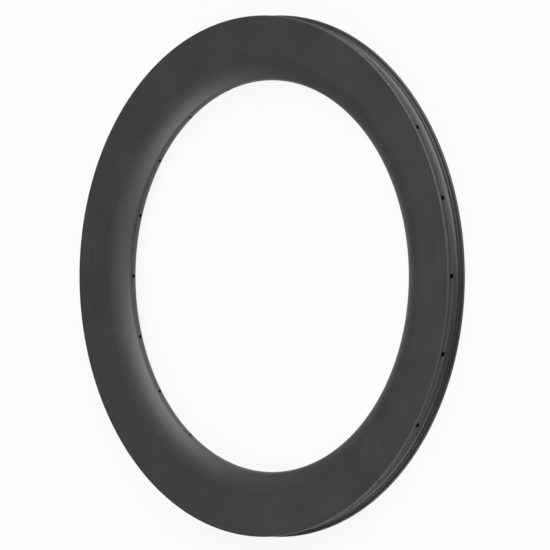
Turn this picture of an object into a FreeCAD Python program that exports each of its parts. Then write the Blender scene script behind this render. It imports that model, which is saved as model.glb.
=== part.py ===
"""Deep-section bicycle rim: a hollow hoop with a tyre bed, drilled for its spokes and the valve.

The rim lies flat: its axle line is Z, its mid-plane is Z = 0 and its centre is the origin.
"""

import FreeCAD, Part
import os

import Sketcher
from FreeCAD import Placement, Rotation, Vector

# Driving dimensions, in millimetres. Depths and heights are radial, widths and runs are axial.
SIZES = {
    "bead_seat_diameter": 621.95,  # standard seat of a full-size road tyre
    "flange_height": 5.5,  # bead seat up to the lip
    "rim_depth": 78.75,  # lip down to the nose
    "rim_width": 30.0,  # over the two side walls
    "flange_wall": 3.0,  # flange beside the tyre bead
    "lip_chamfer": 1.0,  # both edges of each lip
    "foot_chamfer": 0.85,  # between each flange and its bead seat
    "seat_width": 3.25,  # flat that the tyre bead rests on
    "hump_height": 0.75,  # bead seat up to the crest that keeps the tyre bead in place
    "hump_run": 0.8,  # ramp from bead seat to crest
    "well_depth": 3.1,  # bead seat down to the well
    "well_width": 7.4,  # flat bottom of the well
    "flat_wall_depth": 46.5,  # lip down to the end of the parallel side wall
    "land_width": 5.4,  # flat land of the nose, for the spoke holes
    "nose_pull_depth": 2.4,  # flank's control point over the land's edge
    "nose_pull_width": 5.3,  # flank's control point beside the land's edge
    "flank_pull": 14.7,  # flank's control point under the end of the side wall
    "side_wall": 0.9,  # side walls and flanks of the hollow section
    "bed_wall": 1.8,  # tyre bed between the well and the cavity
    "nose_wall": 2.8,  # nose between the spoke heads and the hub side
    "cavity_floor_width": 8.4,  # flat inside of the nose
    "spoke_count": 20,
    "spoke_hole_diameter": 4.5,  # in the nose
    "access_hole_diameter": 6.2,  # in the tyre bed, over each spoke hole
    "valve_hole_diameter": 6.5,  # through bed and nose, midway between two spoke holes
    "drill_margin": 1.5,  # run of a drilling past the wall that it opens
}

# Radii and heights that several dimensions share, as expressions over the sheet.
BEAD = "Sizes.bead_seat_diameter / 2"
LIP = f"({BEAD} + Sizes.flange_height)"
NOSE = f"({LIP} - Sizes.rim_depth)"
WALL_END = f"({LIP} - Sizes.flat_wall_depth)"
WELL = f"({BEAD} - Sizes.well_depth)"
HALF_WIDTH = "Sizes.rim_width / 2"
FLANGE_FACE = f"({HALF_WIDTH} - Sizes.flange_wall)"
SEAT_EDGE = f"({FLANGE_FACE} - Sizes.foot_chamfer - Sizes.seat_width)"
LAND_EDGE = "Sizes.land_width / 2"
FLANK_MIDDLE_RADIUS = f"(4 * {WALL_END} + 4 * {NOSE} + 3 * (Sizes.nose_pull_depth - Sizes.flank_pull)) / 8"
FLANK_MIDDLE_HEIGHT = f"(4 * {HALF_WIDTH} + 4 * {LAND_EDGE} + 3 * Sizes.nose_pull_width) / 8"

# Sketcher's numbers for the points of an edge, the sketch's origin and its horizontal axis.
START, END, CENTRE = 1, 2, 3
ORIGIN = (-1, 1)
HORIZONTAL_AXIS = -1


class BoundSketch:
    """A sketch of a body, with named edges and with dimensions bound to the sheet."""

    def __init__(self, body, name, plane_role, offset=None):
        self.sketch = body.newObject("Sketcher::SketchObject", name)
        self.sketch.AttachmentSupport = [(origin_feature(body, plane_role), "")]
        self.sketch.MapMode = "FlatFace"
        if offset is not None:
            self.sketch.AttachmentOffset = offset
        self.edges = {}

    def line(self, name, start, end):
        edge = Part.LineSegment(Vector(*start), Vector(*end))
        self.edges[name] = self.sketch.addGeometry(edge)

    def curve(self, name, poles):
        """A cubic curve over four control points, which are the centres of name_0 to name_3."""
        points = [Vector(*pole) for pole in poles]
        edge = Part.BSplineCurve(points, None, None, False, 3, None, False)
        self.edges[name] = self.sketch.addGeometry(edge)
        for place, point in enumerate(points):
            pole = self.sketch.addGeometry(Part.Circle(point, Vector(0, 0, 1), 1), True)
            self.edges[f"{name}_{place}"] = pole
            kind = "InternalAlignment:Sketcher::BSplineControlPoint"
            self.sketch.addConstraint(Sketcher.Constraint(kind, pole, CENTRE, self.edges[name], place))
        self.sketch.addConstraint(Sketcher.Constraint("Weight", self.edges[f"{name}_0"], 1))
        for place in (1, 2, 3):
            self.tie("Equal", f"{name}_0", f"{name}_{place}")

    def mirrored_chain(self, names, corners):
        """A chain of lines upper_NAME through the corners, and its mirror image of lines lower_NAME."""
        for name, start, end in zip(names, corners, corners[1:]):
            self.line(f"upper_{name}", start, end)
            self.line(f"lower_{name}", below(start), below(end))
        for side in ("upper", "lower"):
            self.chain([f"{side}_{name}" for name in names])
        self.mirrored(names[0], START)
        for name in names:
            self.mirrored(name, END)

    def bridge(self, name, edge, point):
        """A line from a point of upper_EDGE to the same point of lower_EDGE."""
        ends = [(f"upper_{edge}", point), (f"lower_{edge}", point)]
        start, end = [self.sketch.getPoint(*self.numbers([place])) for place in ends]
        self.line(name, start, end)
        self.tie("Coincident", (name, START), ends[0])
        self.tie("Coincident", (name, END), ends[1])

    def circle(self, name, centre, radius):
        edge = Part.Circle(Vector(*centre), Vector(0, 0, 1), radius)
        self.edges[name] = self.sketch.addGeometry(edge)

    def tie(self, kind, *places):
        """A constraint without a size, between edges or (edge, point) pairs."""
        self.sketch.addConstraint(Sketcher.Constraint(kind, *self.numbers(places)))

    def chain(self, names):
        """Each line starts where the one before it ends."""
        for before, after in zip(names, names[1:]):
            self.tie("Coincident", (before, END), (after, START))

    def on_axis(self, place):
        numbers = self.numbers([place])
        self.sketch.addConstraint(Sketcher.Constraint("PointOnObject", *numbers, HORIZONTAL_AXIS))

    def mirrored(self, edge, point):
        """The same point of upper_EDGE and lower_EDGE, opposite each other across the axis."""
        numbers = self.numbers([(f"upper_{edge}", point), (f"lower_{edge}", point)])
        self.sketch.addConstraint(Sketcher.Constraint("Symmetric", *numbers, HORIZONTAL_AXIS))

    def size(self, name, kind, places, expression):
        """A dimension, drawn at the value that the geometry has and bound to an expression."""
        constraint = Sketcher.Constraint(kind, *self.numbers(places), self.drawn(kind, places))
        index = self.sketch.addConstraint(constraint)
        self.sketch.renameConstraint(index, name)
        self.sketch.setExpression(f"Constraints.{name}", expression)

    def along(self, name, place, expression):
        """The distance of a point from the origin along the horizontal axis."""
        self.size(name, "DistanceX", [ORIGIN, place], expression)

    def above(self, name, place, expression):
        """The distance of a point above the horizontal axis."""
        self.size(name, "DistanceY", [ORIGIN, place], expression)

    def numbers(self, places):
        found = []
        for place in places:
            if isinstance(place, str):
                found.append(self.edges[place])
            else:
                edge, point = place
                found += [self.edges.get(edge, edge), point]
        return found

    def drawn(self, kind, places):
        if kind in ("Radius", "Diameter"):
            radius = self.sketch.Geometry[self.edges[places[0]]].Radius
            return radius if kind == "Radius" else 2 * radius
        start, end = [self.sketch.getPoint(*self.numbers([place])) for place in places]
        return end.x - start.x if kind == "DistanceX" else end.y - start.y


def origin_feature(body, role):
    return next(feature for feature in body.Origin.OriginFeatures if feature.Role == role)


def make_sheet(doc):
    sheet = doc.addObject("Spreadsheet::Sheet", "Sizes")
    for row, (alias, value) in enumerate(SIZES.items(), start=1):
        sheet.set(f"A{row}", alias)
        sheet.set(f"B{row}", str(value))
        sheet.setAlias(f"B{row}", alias)
    doc.recompute()


def below(point):
    """The point opposite this one across the mid-plane."""
    return (point[0], -point[1])


def draw_section(body):
    """The hollow section: X is the distance from the axle line, Y the height over the mid-plane."""
    half_width = SIZES["rim_width"] / 2
    bead = SIZES["bead_seat_diameter"] / 2
    lip = bead + SIZES["flange_height"]
    nose = lip - SIZES["rim_depth"]
    well = bead - SIZES["well_depth"]
    wall_end = lip - SIZES["flat_wall_depth"]
    chamfer = SIZES["lip_chamfer"]
    foot = SIZES["foot_chamfer"]
    flange_face = half_width - SIZES["flange_wall"]
    seat_edge = flange_face - foot - SIZES["seat_width"]

    # The flank is one curve from the side wall, without a corner there, to the land of the nose.
    land_edge = SIZES["land_width"] / 2
    flank = [
        (wall_end, half_width),
        (wall_end - SIZES["flank_pull"], half_width),
        (nose + SIZES["nose_pull_depth"], land_edge + SIZES["nose_pull_width"]),
        (nose, land_edge),
    ]

    draw = BoundSketch(body, "Section", "XZ_Plane")
    draw.curve("upper_flank", flank)
    draw.curve("lower_flank", [below(pole) for pole in flank])
    corners = [
        (wall_end, half_width),
        (lip - chamfer, half_width),
        (lip, half_width - chamfer),
        (lip, flange_face + chamfer),
        (lip - chamfer, flange_face),
        (bead + foot, flange_face),
        (bead, flange_face - foot),
        (bead, seat_edge),
        (bead + SIZES["hump_height"], seat_edge - SIZES["hump_run"]),
        (well, SIZES["well_width"] / 2),
    ]
    steps = ["wall", "outer_chamfer", "lip", "inner_chamfer", "flange", "foot", "seat", "ramp", "slope"]
    draw.mirrored_chain(steps, corners)
    draw.bridge("well", "slope", END)
    draw.bridge("land", "flank", END)

    for side in ("upper", "lower"):
        draw.tie("Coincident", (f"{side}_flank", START), (f"{side}_wall", START))
    draw.tie("Horizontal", ("upper_flank_1", CENTRE), ("upper_wall", START))
    for pole in ("flank_1", "flank_2", "flank_3"):
        draw.mirrored(pole, CENTRE)
    for radial in ("upper_wall", "upper_flange"):
        draw.tie("Horizontal", radial)
    for axial in ("upper_lip", "upper_seat"):
        draw.tie("Vertical", axial)

    draw.along("land_radius", ("land", START), NOSE)
    draw.along("nose_pull", ("upper_flank_2", CENTRE), f"{NOSE} + Sizes.nose_pull_depth")
    draw.along("flank_pull", ("upper_flank_1", CENTRE), f"{WALL_END} - Sizes.flank_pull")
    draw.along("wall_end", ("upper_wall", START), WALL_END)
    draw.along("outer_edge", ("upper_wall", END), f"{LIP} - Sizes.lip_chamfer")
    draw.along("lip_radius", ("upper_lip", START), LIP)
    draw.along("inner_edge", ("upper_inner_chamfer", END), f"{LIP} - Sizes.lip_chamfer")
    draw.along("foot_radius", ("upper_foot", START), f"{BEAD} + Sizes.foot_chamfer")
    draw.along("bead_seat", ("upper_seat", START), BEAD)
    draw.along("crest_radius", ("upper_ramp", END), f"{BEAD} + Sizes.hump_height")
    draw.along("well_radius", ("upper_slope", END), WELL)
    draw.above("land_edge", ("land", START), LAND_EDGE)
    draw.above("nose_spread", ("upper_flank_2", CENTRE), f"{LAND_EDGE} + Sizes.nose_pull_width")
    draw.above("half_width", ("upper_wall", START), HALF_WIDTH)
    draw.above("lip_outside", ("upper_lip", START), f"{HALF_WIDTH} - Sizes.lip_chamfer")
    draw.above("lip_inside", ("upper_lip", END), f"{FLANGE_FACE} + Sizes.lip_chamfer")
    draw.above("flange_face", ("upper_flange", START), FLANGE_FACE)
    draw.above("foot_edge", ("upper_seat", START), f"{FLANGE_FACE} - Sizes.foot_chamfer")
    draw.above("seat_edge", ("upper_seat", END), SEAT_EDGE)
    draw.above("crest_height", ("upper_ramp", END), f"{SEAT_EDGE} - Sizes.hump_run")
    draw.above("well_edge", ("upper_slope", END), "Sizes.well_width / 2")
    draw_cavity(draw, flank, well - SIZES["bed_wall"])
    return draw.sketch


def draw_cavity(draw, flank, roof):
    """The hollow: a roof under the bed, straight runs beside walls and flanks, a floor at the nose."""
    wall_end = flank[0][0]
    inside = flank[0][1] - SIZES["side_wall"]
    middle = [(a + 3 * b + 3 * c + d) / 8 for a, b, c, d in zip(*flank)]
    knee = (middle[0], middle[1] - SIZES["side_wall"])
    floor = flank[-1][0] + SIZES["nose_wall"]
    corners = [(roof, inside), (wall_end, inside), knee, (floor, SIZES["cavity_floor_width"] / 2)]
    draw.mirrored_chain(["inside", "shoulder", "haunch"], corners)
    draw.bridge("roof", "inside", START)
    draw.bridge("floor", "haunch", END)

    draw.tie("Horizontal", "upper_inside")
    draw.along("roof_radius", ("roof", START), f"{WELL} - Sizes.bed_wall")
    draw.along("inside_end", ("upper_inside", END), WALL_END)
    draw.along("knee_radius", ("upper_shoulder", END), FLANK_MIDDLE_RADIUS)
    draw.along("floor_radius", ("floor", START), f"{NOSE} + Sizes.nose_wall")
    draw.above("inside_height", ("roof", START), f"{HALF_WIDTH} - Sizes.side_wall")
    draw.above("knee_height", ("upper_shoulder", END), f"{FLANK_MIDDLE_HEIGHT} - Sizes.side_wall")
    draw.above("floor_edge", ("floor", START), "Sizes.cavity_floor_width / 2")


def draw_spoke_drilling(body):
    """Profile of one stepped drilling: a spoke hole in the nose, a wider access hole in the bed."""
    lip = SIZES["bead_seat_diameter"] / 2 + SIZES["flange_height"]
    nose = lip - SIZES["rim_depth"]
    start = nose - SIZES["drill_margin"]
    step = nose + SIZES["nose_wall"] + SIZES["drill_margin"]
    spoke_radius = SIZES["spoke_hole_diameter"] / 2
    access_radius = SIZES["access_hole_diameter"] / 2

    # The sketch is turned about the axle line, so that the valve hole has the X axis to itself.
    half_pitch = Placement(Vector(), Rotation(Vector(0, 1, 0), 180 / SIZES["spoke_count"]))
    draw = BoundSketch(body, "SpokeDrilling", "XZ_Plane", half_pitch)
    draw.sketch.setExpression("AttachmentOffset.Rotation.Angle", "180 deg / Sizes.spoke_count")
    corners = [
        (start, 0),
        (start, spoke_radius),
        (step, spoke_radius),
        (step, access_radius),
        (lip, access_radius),
        (lip, 0),
    ]
    names = ["tip", "spoke_side", "shoulder", "access_side", "mouth", "axis"]
    for name, corner, following in zip(names, corners, corners[1:] + corners[:1]):
        draw.line(name, corner, following)
    draw.chain(names + names[:1])
    for radial in ("spoke_side", "access_side"):
        draw.tie("Horizontal", radial)
    for axial in ("tip", "shoulder", "mouth"):
        draw.tie("Vertical", axial)
    draw.on_axis(("axis", START))
    draw.on_axis(("axis", END))

    draw.along("start", ("tip", START), f"{NOSE} - Sizes.drill_margin")
    draw.along("step", ("shoulder", START), f"{NOSE} + Sizes.nose_wall + Sizes.drill_margin")
    draw.along("finish", ("mouth", START), LIP)
    draw.above("spoke_radius", ("spoke_side", START), "Sizes.spoke_hole_diameter / 2")
    draw.above("access_radius", ("access_side", START), "Sizes.access_hole_diameter / 2")
    return draw.sketch


def draw_valve_hole(body):
    draw = BoundSketch(body, "ValveHole", "YZ_Plane")
    draw.circle("edge", (0, 0), SIZES["valve_hole_diameter"] / 2)
    draw.tie("Coincident", ("edge", CENTRE), ORIGIN)
    draw.size("bore", "Diameter", ["edge"], "Sizes.valve_hole_diameter")
    return draw.sketch


def build_rim(doc):
    body = doc.addObject("PartDesign::Body", "Rim")
    body.Label = "rim"

    section = draw_section(body)
    hoop = body.newObject("PartDesign::Revolution", "Hoop")
    hoop.Profile = section
    hoop.ReferenceAxis = (section, ["V_Axis"])
    hoop.Angle = 360
    doc.recompute()
    hoop_volume = body.Shape.Volume

    drilling = draw_spoke_drilling(body)
    spoke_hole = body.newObject("PartDesign::Groove", "SpokeHole")
    spoke_hole.Profile = drilling
    spoke_hole.ReferenceAxis = (drilling, ["H_Axis"])
    spoke_hole.Angle = 360
    doc.recompute()

    spoke_holes = body.newObject("PartDesign::PolarPattern", "SpokeHoles")
    spoke_holes.Originals = [spoke_hole]
    spoke_holes.Axis = (origin_feature(body, "Z_Axis"), [""])
    spoke_holes.Angle = 360
    spoke_holes.setExpression("Occurrences", "Sizes.spoke_count")
    body.Tip = spoke_holes
    doc.recompute()
    drilled_volume = body.Shape.Volume

    circle = draw_valve_hole(body)
    valve_hole = body.newObject("PartDesign::Pocket", "ValveDrilling")
    valve_hole.Profile = circle
    valve_hole.Type = "ThroughAll"
    valve_hole.Reversed = True
    body.Tip = valve_hole
    doc.recompute()

    if not body.Shape.Volume < drilled_volume < hoop_volume:
        raise RuntimeError("a drilling missed the hoop")
    return body


def check(doc, parts):
    for thing in doc.Objects:
        if "Invalid" in thing.State or "Error" in thing.State:
            raise RuntimeError(f"{thing.Label} failed: {thing.State}")
    for part in parts:
        if part.Shape.isNull() or not part.Shape.isValid() or len(part.Shape.Solids) != 1:
            raise RuntimeError(f"{part.Label} is not one valid solid")


def main():
    doc = FreeCAD.newDocument("BicycleRim")
    make_sheet(doc)
    parts = [build_rim(doc)]
    check(doc, parts)
    os.makedirs("parts", exist_ok=True)
    for part in parts:
        part.Shape.exportStep(f"parts/{part.Label}.step")
        print(f"{part.Label}: {part.Shape.Volume / 1000:.1f} cm3, {len(part.Shape.Faces)} faces")


main()
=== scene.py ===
"""Looks of a deep-section bicycle rim that lies on its side: fine mesh, finish, floor, light and camera."""

import math

import bmesh
import bpy
from mathutils import Matrix, Vector


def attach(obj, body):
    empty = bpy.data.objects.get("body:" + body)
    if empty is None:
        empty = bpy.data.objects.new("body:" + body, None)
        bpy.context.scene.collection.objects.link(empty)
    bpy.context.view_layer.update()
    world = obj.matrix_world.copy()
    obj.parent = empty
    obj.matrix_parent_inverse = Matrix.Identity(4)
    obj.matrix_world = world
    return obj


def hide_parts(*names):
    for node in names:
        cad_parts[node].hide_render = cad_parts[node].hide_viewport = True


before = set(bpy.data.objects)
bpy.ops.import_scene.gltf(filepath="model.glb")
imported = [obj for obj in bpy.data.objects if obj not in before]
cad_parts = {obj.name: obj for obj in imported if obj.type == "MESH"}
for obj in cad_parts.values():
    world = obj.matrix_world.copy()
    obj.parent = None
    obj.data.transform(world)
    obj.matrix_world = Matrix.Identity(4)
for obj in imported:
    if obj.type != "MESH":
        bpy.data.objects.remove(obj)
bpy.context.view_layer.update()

# The rim's own sizes, in metres: radii from the axle line, heights over the mid-plane.
LIP = 0.316475
CREST = 0.311725
BEAD = 0.310975
WELL = 0.307875
WALL_END = 0.269975
NOSE = 0.237475
HALF_WIDTH = 0.015
FLANGE_FACE = 0.012
SEAT_EDGE = 0.0079
CREST_EDGE = 0.0071
WELL_RADIUS = 0.0085
NOSE_RADIUS = 0.00765
SIDE_WALL = 0.0009
ROOF = 0.306075
FLOOR = 0.240525
FLOOR_EDGE = 0.0042
SPOKE_COUNT = 20
SPOKE_HOLE = 0.00225
ACCESS_HOLE = 0.0031
VALVE_HOLE = 0.00325
HOLE_CHAMFER = 0.00025

# Roundings of the outside's edges.
CREST_ROUND = 0.0003
SEAT_ROUND = 0.0005
FOOT_ROUND = 0.0013
LIP_ROUND = 0.00135

# The hollow: the knee of its side, as radius and height, its roundings, and a strip of floor beside the band.
CAVITY_KNEE = (0.2492, 0.0099)
ROOF_ROUND = 0.002
KNEE_ROUND = 0.02
FLOOR_ROUND = 0.0005
FLOOR_STRIP = 0.0006

# How finely the section is divided. A guard is the distance of the close point beside a rounding.
CORNER_STEPS = 6
CORNER_GUARD = 0.0001
CAVITY_STEPS = 2
CAVITY_GUARD = 0.0003
FLANK_STEPS = 14
NOSE_STEPS = 6

# The hoop is turned in equal steps. A hole lies in a patch of steps and rows, with rings round it.
STEPS = 360
TURN = 2 * math.pi / STEPS
COLUMNS = 4
ROWS = 12
RINGS = 6
RING_EASE = 1.7
BED_BAND = 0.006
NOSE_BAND = 0.0045
SHARP_EDGE = math.radians(32)

# The laminate: waves per metre of its strands, clouds and grain, their shares, colours and skin.
STRANDS_ALONG = 14.0
STRANDS_ACROSS = 700.0
CLOUD_SCALE = 16.0
GRAIN_SCALE = 2200.0
STRAND_SHARE = 0.7
CLOUD_SHARE = 0.3
NOISE_LOW = 0.3
NOISE_HIGH = 0.7
DARK_STRAND = (0.0212, 0.0212, 0.0218, 1)
LIGHT_STRAND = (0.0350, 0.0350, 0.0358, 1)
ROUGHNESS_LOW = 0.46
ROUGHNESS_HIGH = 0.5
SHINE = 0.85
GRAIN_STRENGTH = 0.1
GRAIN_DEPTH = 0.0002

# The picture: a parallel view, 45 degrees off the axle line.
VIEW_WIDTH = 0.6673
VIEW_AZIMUTH = math.radians(-81)
VIEW_SHIFT = (0.00342, 0.00138)
CAMERA_DISTANCE = 2
CAMERA_REACH = 20

WHITE = (1, 1, 1, 1)

# The floor: its side, its own tone, the share of plain white over that, and how white it looks in all.
FLOOR_SIZE = 14
FLOOR_TONE = (0.65, 0.65, 0.65, 1)
FLOOR_VEIL = 0.9
FLOOR_LOOK = 0.97

# The sky's own light, and the sine of the angle up to which it shows the floor's white.
SKY = 0.05
HORIZON = 0.02


def arc(centre, radius, first, last, count):
    """Points of an arc in the section, by angles in degrees."""
    points = []
    for step in range(count + 1):
        angle = math.radians(first + (last - first) * step / count)
        points.append((centre[0] + radius * math.cos(angle), centre[1] + radius * math.sin(angle)))
    return points


def rounded(corners, count, guard):
    """A run through corners (radius, height, rounding), with a close point beside each rounding."""
    points = [corners[0][:2]]
    for before, corner, after in zip(corners, corners[1:], corners[2:]):
        here = Vector(corner[:2])
        back = (Vector(before[:2]) - here).normalized()
        on = (Vector(after[:2]) - here).normalized()
        turn = math.pi - back.angle(on)
        reach = corner[2] * math.tan(turn / 2)
        start, end = here + back * reach, here + on * reach
        points.append(tuple(start + back * guard))
        for step in range(count + 1):
            share = step / count
            inner = start.lerp(here, share).lerp(here.lerp(end, share), share)
            points.append(tuple(inner))
        points.append(tuple(end + on * guard))
    points.append(corners[-1][:2])
    return points


def bed_point(height):
    """The outside of the tyre bed between its crests: a round well."""
    return WELL + WELL_RADIUS - math.sqrt(WELL_RADIUS**2 - height**2)


def nose_point(height):
    """The outside of the nose: a round of its own radius."""
    return NOSE + NOSE_RADIUS - math.sqrt(NOSE_RADIUS**2 - height**2)


def flank_points():
    """The arc from the side wall's end that runs into the nose, and the nose down to its band."""
    reach = WALL_END - NOSE - NOSE_RADIUS
    radius = (reach**2 + HALF_WIDTH**2 - NOSE_RADIUS**2) / (2 * (HALF_WIDTH - NOSE_RADIUS))
    drop = radius - HALF_WIDTH
    lean = math.degrees(math.atan2(reach, drop))
    points = arc((WALL_END, -drop), radius, 90, 90 + lean, FLANK_STEPS)
    edge = math.degrees(math.asin(NOSE_BAND / NOSE_RADIUS))
    return points + arc((NOSE + NOSE_RADIUS, 0), NOSE_RADIUS, 90 + lean, 180 - edge, NOSE_STEPS)[1:]


def outside_points():
    """Upper half of the outside, from the bed's band over the lip and down to the nose's band."""
    run = rounded([
        (bed_point(BED_BAND), BED_BAND),
        (CREST, CREST_EDGE, CREST_ROUND),
        (BEAD, SEAT_EDGE, SEAT_ROUND),
        (BEAD, FLANGE_FACE, FOOT_ROUND),
        (LIP, FLANGE_FACE, LIP_ROUND),
        (LIP, HALF_WIDTH, LIP_ROUND),
        (WALL_END, HALF_WIDTH),
    ], CORNER_STEPS, CORNER_GUARD)
    return run + flank_points()[1:]


def inside_points():
    """Upper half of the hollow, from the roof's band to the floor's band."""
    inside = HALF_WIDTH - SIDE_WALL
    return rounded([
        (ROOF, BED_BAND),
        (ROOF, inside, ROOF_ROUND),
        (WALL_END, inside, KNEE_ROUND),
        (*CAVITY_KNEE, KNEE_ROUND),
        (FLOOR, FLOOR_EDGE, FLOOR_ROUND),
        (FLOOR, FLOOR_EDGE - FLOOR_STRIP),
    ], CAVITY_STEPS, CAVITY_GUARD)


def hole_angle(step, count):
    """Where a point of a hole's edge lies round the hole, from the first corner of its patch."""
    return 2 * math.pi * (step - ROWS / 2) / count


class Hoop:
    """The mesh of the rim: rings of points round the axle line, drilled bands and hole walls."""

    def __init__(self):
        self.mesh = bmesh.new()

    def point(self, radius, angle, height):
        return self.mesh.verts.new((radius * math.cos(angle), radius * math.sin(angle), height))

    def ring(self, radius, height):
        return [self.point(radius, step * TURN, height) for step in range(STEPS)]

    def join(self, one, other):
        """Faces between two closed loops of as many points."""
        for step in range(len(one)):
            after = (step + 1) % len(one)
            self.mesh.faces.new((one[step], one[after], other[after], other[step]))

    def skin(self, points, first, last):
        """Rings through the points between two rings that exist."""
        loops = [first] + [self.ring(*point) for point in points[1:-1]] + [last]
        for one, other in zip(loops, loops[1:]):
            self.join(one, other)

    def band(self, surface, half, holes):
        """A drilled band along the mid-plane: returns its two edge rings and a loop for each hole."""
        heights = [half * (2 * row / ROWS - 1) for row in range(ROWS + 1)]
        inner = set()
        starts = {}
        for angle in holes:
            start = round(angle / TURN) - COLUMNS // 2
            starts[angle] = start
            for step in range(1, COLUMNS):
                inner.add((start + step) % STEPS)
        rows = []
        for row, height in enumerate(heights):
            edge = row in (0, ROWS)
            rows.append([
                self.point(surface(height), step * TURN, height) if edge or step not in inner else None
                for step in range(STEPS)
            ])
        covered = {(start + step) % STEPS for start in starts.values() for step in range(COLUMNS)}
        for step in set(range(STEPS)) - covered:
            after = (step + 1) % STEPS
            for low, high in zip(rows, rows[1:]):
                self.mesh.faces.new((low[step], low[after], high[after], high[step]))
        loops = {}
        for angle, start in starts.items():
            loops[angle] = self.patch(surface, heights, rows, start, angle, holes[angle])
        return rows[0], rows[-1], loops

    def patch(self, surface, heights, rows, start, angle, bore):
        """Rings from the border of a patch of the band to the hole in its middle."""
        half = COLUMNS // 2
        border = [(COLUMNS, row) for row in range(ROWS)]
        border += [(column, ROWS) for column in range(COLUMNS, 0, -1)]
        border += [(0, row) for row in range(ROWS, 0, -1)]
        border += [(column, 0) for column in range(COLUMNS)]
        outer = [rows[row][(start + column) % STEPS] for column, row in border]
        edge = []
        for step in range(len(border)):
            around = hole_angle(step, len(border))
            height = bore * math.sin(around)
            edge.append((math.asin(bore * math.cos(around) / surface(height)), height))
        for ring in range(1, RINGS + 1):
            share = (1 - ring / RINGS) ** RING_EASE
            loop = []
            for (column, row), (side, height) in zip(border, edge):
                across = side + ((column - half) * TURN - side) * share
                up = height + (heights[row] - height) * share
                loop.append(self.point(surface(up), angle + across, up))
            self.join(outer, loop)
            outer = loop
        return outer

    def drill(self, outer, inner, angle, bore, surface, inward):
        """The wall of a hole: a small chamfer at the outer face, then straight to the hollow."""
        lip = []
        for step in range(len(outer)):
            around = hole_angle(step, len(outer))
            height = bore * math.sin(around)
            side = bore * math.cos(around)
            radius = surface(height) + inward * HOLE_CHAMFER
            lip.append(self.point(radius, angle + math.asin(side / radius), height))
        self.join(outer, lip)
        self.join(lip, inner)

    def finish(self, name):
        """The mesh as an object, smooth but for its sharp edges."""
        bmesh.ops.recalc_face_normals(self.mesh, faces=self.mesh.faces)
        data = bpy.data.meshes.new(name)
        self.mesh.to_mesh(data)
        self.mesh.free()
        for face in data.polygons:
            face.use_smooth = True
        data.set_sharp_from_angle(angle=SHARP_EDGE)
        piece = bpy.data.objects.new(name, data)
        bpy.context.scene.collection.objects.link(piece)
        return piece


def mirrored(points):
    """The same run on the other side of the mid-plane."""
    return [(radius, -height) for radius, height in points]


def build_rim():
    """Outside, hollow and hole walls as one closed mesh. The valve hole lies midway between two spokes."""
    spokes = [2 * math.pi * (number + 0.5) / SPOKE_COUNT for number in range(SPOKE_COUNT)]
    bed_holes = dict.fromkeys(spokes, ACCESS_HOLE) | {0.0: VALVE_HOLE}
    nose_holes = dict.fromkeys(spokes, SPOKE_HOLE) | {0.0: VALVE_HOLE}

    def level(radius):
        return lambda height: radius

    def wider(holes):
        return {angle: bore + HOLE_CHAMFER for angle, bore in holes.items()}

    hoop = Hoop()
    bed_low, bed_high, bed_loops = hoop.band(bed_point, BED_BAND, wider(bed_holes))
    nose_low, nose_high, nose_loops = hoop.band(nose_point, NOSE_BAND, wider(nose_holes))
    outside = outside_points()
    hoop.skin(outside, bed_high, nose_high)
    hoop.skin(mirrored(outside), bed_low, nose_low)

    inside = inside_points()
    floor_half = inside[-1][1]
    roof_low, roof_high, roof_loops = hoop.band(level(ROOF), BED_BAND, bed_holes)
    floor_low, floor_high, floor_loops = hoop.band(level(FLOOR), floor_half, nose_holes)
    hoop.skin(inside, roof_high, floor_high)
    hoop.skin(mirrored(inside), roof_low, floor_low)

    for angle, bore in bed_holes.items():
        hoop.drill(bed_loops[angle], roof_loops[angle], angle, bore, bed_point, inward=-1)
    for angle, bore in nose_holes.items():
        hoop.drill(nose_loops[angle], floor_loops[angle], angle, bore, nose_point, inward=1)
    return hoop.finish("rim_shell")


class Nodes:
    """A material or world with its node tree cleared, and short ways to add and link nodes."""

    def __init__(self, owner):
        owner.use_nodes = True
        self.tree = owner.node_tree
        self.tree.nodes.clear()

    def add(self, kind, settings=None, **inputs):
        node = self.tree.nodes.new(kind)
        for name, value in (settings or {}).items():
            setattr(node, name, value)
        for name, value in inputs.items():
            self.feed(node.inputs[name.replace("_", " ")], value)
        return node

    def feed(self, socket, value):
        if isinstance(value, bpy.types.NodeSocket):
            self.tree.links.new(value, socket)
        else:
            socket.default_value = value

    def math(self, operation, *values):
        node = self.tree.nodes.new("ShaderNodeMath")
        node.operation = operation
        for socket, value in zip(node.inputs, values):
            self.feed(socket, value)
        return node.outputs[0]


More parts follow.
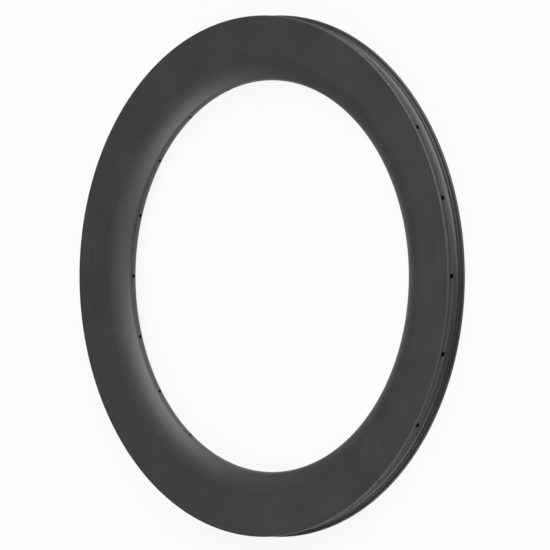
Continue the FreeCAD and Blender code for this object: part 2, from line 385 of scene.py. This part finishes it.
def carbon_finish():
    """Satin moulded laminate: faint strands along the hoop under a fine-grained resin skin."""
    material = bpy.data.materials.new("satin_laminate")
    nodes = Nodes(material)
    place = nodes.add("ShaderNodeTexCoord").outputs["Object"]
    axes = nodes.add("ShaderNodeSeparateXYZ", Vector=place).outputs
    flat = nodes.add("ShaderNodeCombineXYZ", X=axes["X"], Y=axes["Y"]).outputs[0]
    radius = nodes.add("ShaderNodeVectorMath", {"operation": "LENGTH"}, Vector=flat).outputs["Value"]

    strand_place = nodes.add(
        "ShaderNodeCombineXYZ",
        X=nodes.math("MULTIPLY", axes["X"], STRANDS_ALONG),
        Y=nodes.math("MULTIPLY", axes["Y"], STRANDS_ALONG),
        Z=nodes.math("MULTIPLY", radius, STRANDS_ACROSS),
    ).outputs[0]
    strands = nodes.add(
        "ShaderNodeTexNoise",
        {"noise_dimensions": "4D"},
        Vector=strand_place,
        W=nodes.math("MULTIPLY", axes["Z"], STRANDS_ACROSS),
        Scale=1.0,
        Detail=3.0,
        Roughness=0.55,
    ).outputs["Fac"]
    cloud = nodes.add("ShaderNodeTexNoise", Vector=place, Scale=CLOUD_SCALE, Detail=2.0).outputs["Fac"]
    grain = nodes.add("ShaderNodeTexNoise", Vector=place, Scale=GRAIN_SCALE, Detail=2.0).outputs["Fac"]

    tone = nodes.math(
        "ADD", nodes.math("MULTIPLY", strands, STRAND_SHARE), nodes.math("MULTIPLY", cloud, CLOUD_SHARE)
    )
    colours = nodes.add("ShaderNodeValToRGB", Fac=tone)
    dark, light = colours.color_ramp.elements
    dark.position, dark.color = NOISE_LOW, DARK_STRAND
    light.position, light.color = NOISE_HIGH, LIGHT_STRAND
    rough = nodes.add(
        "ShaderNodeMapRange",
        Value=cloud,
        From_Min=NOISE_LOW,
        From_Max=NOISE_HIGH,
        To_Min=ROUGHNESS_LOW,
        To_Max=ROUGHNESS_HIGH,
    ).outputs[0]
    relief = nodes.add(
        "ShaderNodeBump", Strength=GRAIN_STRENGTH, Distance=GRAIN_DEPTH, Height=grain
    ).outputs[0]
    shader = nodes.add(
        "ShaderNodeBsdfPrincipled",
        Base_Color=colours.outputs["Color"],
        Roughness=rough,
        Specular_IOR_Level=SHINE,
        Normal=relief,
    )
    nodes.add("ShaderNodeOutputMaterial", Surface=shader.outputs[0])
    return material


def seen_directly(nodes):
    """1 for the picture, reflections and what is seen through glass, 0 for light that falls on things."""
    path = nodes.add("ShaderNodeLightPath").outputs
    either = nodes.math("MAXIMUM", path["Is Camera Ray"], path["Is Glossy Ray"])
    return nodes.math("MAXIMUM", either, path["Is Transmission Ray"])


def build_floor():
    """A white floor that the rim lies on, and that keeps its shadow."""
    bpy.ops.mesh.primitive_plane_add(size=FLOOR_SIZE, location=(0, 0, -HALF_WIDTH))
    floor = bpy.context.object
    floor.name = "floor"
    material = bpy.data.materials.new("pale_floor")
    nodes = Nodes(material)
    matte = nodes.add("ShaderNodeBsdfDiffuse", Color=FLOOR_TONE)
    veil = nodes.add("ShaderNodeEmission", Color=WHITE, Strength=1.0)
    share = nodes.math("MULTIPLY", seen_directly(nodes), FLOOR_VEIL)
    mixed = nodes.add("ShaderNodeMixShader", Fac=share)
    nodes.feed(mixed.inputs[1], matte.outputs[0])
    nodes.feed(mixed.inputs[2], veil.outputs[0])
    nodes.add("ShaderNodeOutputMaterial", Surface=mixed.outputs[0])
    floor.data.materials.append(material)


def build_world():
    """A dim, even sky. Under the horizon it looks as white as the floor, for views from low down."""
    world = bpy.data.worlds.new("studio")
    bpy.context.scene.world = world
    nodes = Nodes(world)
    way = nodes.add("ShaderNodeTexCoord").outputs["Generated"]
    rise = nodes.add("ShaderNodeSeparateXYZ", Vector=way).outputs["Z"]
    under = nodes.math("LESS_THAN", rise, HORIZON)
    shown = nodes.math("MULTIPLY", nodes.math("MULTIPLY", under, seen_directly(nodes)), FLOOR_LOOK)
    strength = nodes.math("MAXIMUM", shown, SKY)
    sky = nodes.add("ShaderNodeBackground", Color=WHITE, Strength=strength)
    nodes.add("ShaderNodeOutputWorld", Surface=sky.outputs[0])


def view_axes():
    """Picture right, picture up and the way to the camera, in the rim's frame."""
    out = Vector((math.cos(VIEW_AZIMUTH), math.sin(VIEW_AZIMUTH), 0))
    up = Vector((-out.y, out.x, 0))
    axle = Vector((0, 0, 1))
    return (out - axle).normalized(), up, (out + axle).normalized()


def build_camera():
    right, up, back = view_axes()
    data = bpy.data.cameras.new("camera")
    data.type = "ORTHO"
    data.ortho_scale = VIEW_WIDTH
    data.clip_end = CAMERA_REACH
    camera = bpy.data.objects.new("camera", data)
    bpy.context.scene.collection.objects.link(camera)
    turned = Matrix((right, up, back)).transposed().to_4x4()
    place = right * VIEW_SHIFT[0] + up * VIEW_SHIFT[1] + back * CAMERA_DISTANCE
    camera.matrix_world = Matrix.Translation(place) @ turned
    bpy.context.scene.camera = camera


def build_light(name, azimuth, elevation, distance, size, power):
    """An oblong lamp that faces the rim. Its angles are in degrees, from the camera's side and the floor."""
    turn = VIEW_AZIMUTH + math.radians(azimuth)
    rise = math.radians(elevation)
    way = Vector((math.cos(turn) * math.cos(rise), math.sin(turn) * math.cos(rise), math.sin(rise)))
    data = bpy.data.lights.new(name, "AREA")
    data.shape = "RECTANGLE"
    data.size, data.size_y = size
    data.energy = power
    lamp = bpy.data.objects.new(name, data)
    bpy.context.scene.collection.objects.link(lamp)
    facing = way.to_track_quat("Z", "Y").to_matrix().to_4x4()
    lamp.matrix_world = Matrix.Translation(way * distance) @ facing


rim = build_rim()
rim.data.materials.append(carbon_finish())
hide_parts("rim")
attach(rim, "root")

build_floor()
build_world()
build_light("key", azimuth=63, elevation=43, distance=3.3, size=(4.9, 3.7), power=198)
build_light("fill", azimuth=-95, elevation=42, distance=3.3, size=(2.8, 2.5), power=70)
build_camera()
bpy.context.scene.view_settings.view_transform = "Standard"
